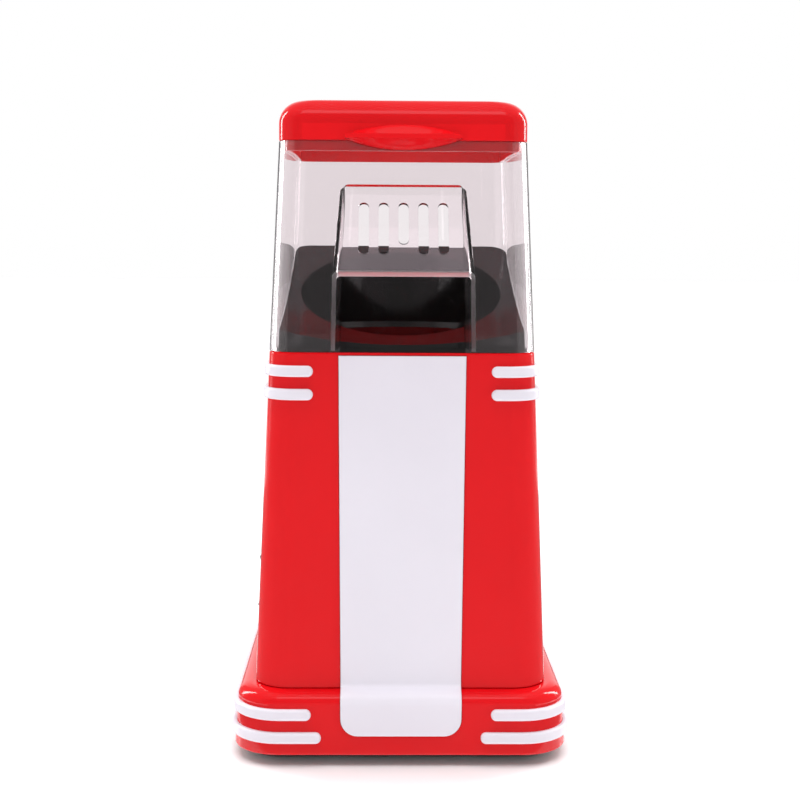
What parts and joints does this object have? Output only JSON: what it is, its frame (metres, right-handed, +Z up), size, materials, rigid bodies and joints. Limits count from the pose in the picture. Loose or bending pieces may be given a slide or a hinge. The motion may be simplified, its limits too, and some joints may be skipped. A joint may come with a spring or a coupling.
{
  "type": "popcorn maker",
  "caption": "Hot-air popcorn maker: tapered body on a wider plinth, clear lift-off cover with an outlet hood, and a measuring lid.",
  "frame": {"origin": "on the table, under the middle of the plinth", "axes": "+Z up, the outlet hood and front panel face -Y, the switch is on the -X side"},
  "size_m": [0.157, 0.1636, 0.3],
  "materials": {
    "red_plastic": "gloss red ABS",
    "white_plastic": "satin white ABS",
    "clear_plastic": "clear polycarbonate, faint pink tint",
    "black_plastic": "gloss black heat-resistant plastic",
    "dark_phenolic": "moulded phenolic",
    "rubber": "matt black rubber",
    "coated_aluminium": "aluminium with a black non-stick coat",
    "nichrome": "oxidised resistance wire",
    "mica": "mica board",
    "board": "green circuit board",
    "zinc_steel": "zinc-plated steel"
  },
  "bodies": {
    "base": {"base_plate": "black_plastic", "base_screw_1": "zinc_steel", "base_screw_2": "zinc_steel", "base_screw_3": "zinc_steel", "base_screw_4": "zinc_steel", "body_shell": "red_plastic", "cord_gland": "black_plastic", "fan_housing": "dark_phenolic", "front_panel": "white_plastic", "heater_coil": "nichrome", "heater_shroud": "zinc_steel", "housing_screw_1": "zinc_steel", "housing_screw_2": "zinc_steel", "housing_screw_3": "zinc_steel", "housing_screw_4": "zinc_steel", "mica_cross": "mica", "motor_bracket": "zinc_steel", "motor_can": "zinc_steel", "plinth": "red_plastic", "popcorn_tray": "black_plastic", "popping_chamber": "coated_aluminium", "rectifier_board": "board", "rubber_foot_1": "rubber", "rubber_foot_2": "rubber", "rubber_foot_3": "rubber", "rubber_foot_4": "rubber", "stripe_lower_a_left": "white_plastic", "stripe_lower_a_right": "white_plastic", "stripe_lower_b_left": "white_plastic", "stripe_lower_b_right": "white_plastic", "stripe_upper_a_left": "white_plastic", "stripe_upper_a_right": "white_plastic", "stripe_upper_b_left": "white_plastic", "stripe_upper_b_right": "white_plastic", "switch_frame": "black_plastic", "thermal_fuse": "zinc_steel", "thermostat": "zinc_steel"},
    "cover": {"clear_cover": "clear_plastic"},
    "lid": {"measuring_lid": "red_plastic"},
    "rocker": {"switch_rocker": "black_plastic"},
    "fan": {"fan_impeller": "dark_phenolic", "motor_shaft": "zinc_steel"}
  },
  "joints": [
    {"name": "cover_lift", "type": "slide", "parent": "base", "child": "cover", "axis": [0, 0, 1], "range_m": [0, 0.08]},
    {"name": "lid_lift", "type": "slide", "parent": "cover", "child": "lid", "axis": [0, 0, 1], "range_m": [0, 0.05]},
    {"name": "switch_rock", "type": "hinge", "parent": "base", "child": "rocker", "pos_m": [-0.06603, -0.01, 0.07], "axis": [0, 1, 0], "range_deg": [-5, 5]},
    {"name": "fan_spin", "type": "hinge", "parent": "base", "child": "fan", "pos_m": [0, 0, 0.07], "axis": [0, 0, 1], "continuous": true}
  ]
}
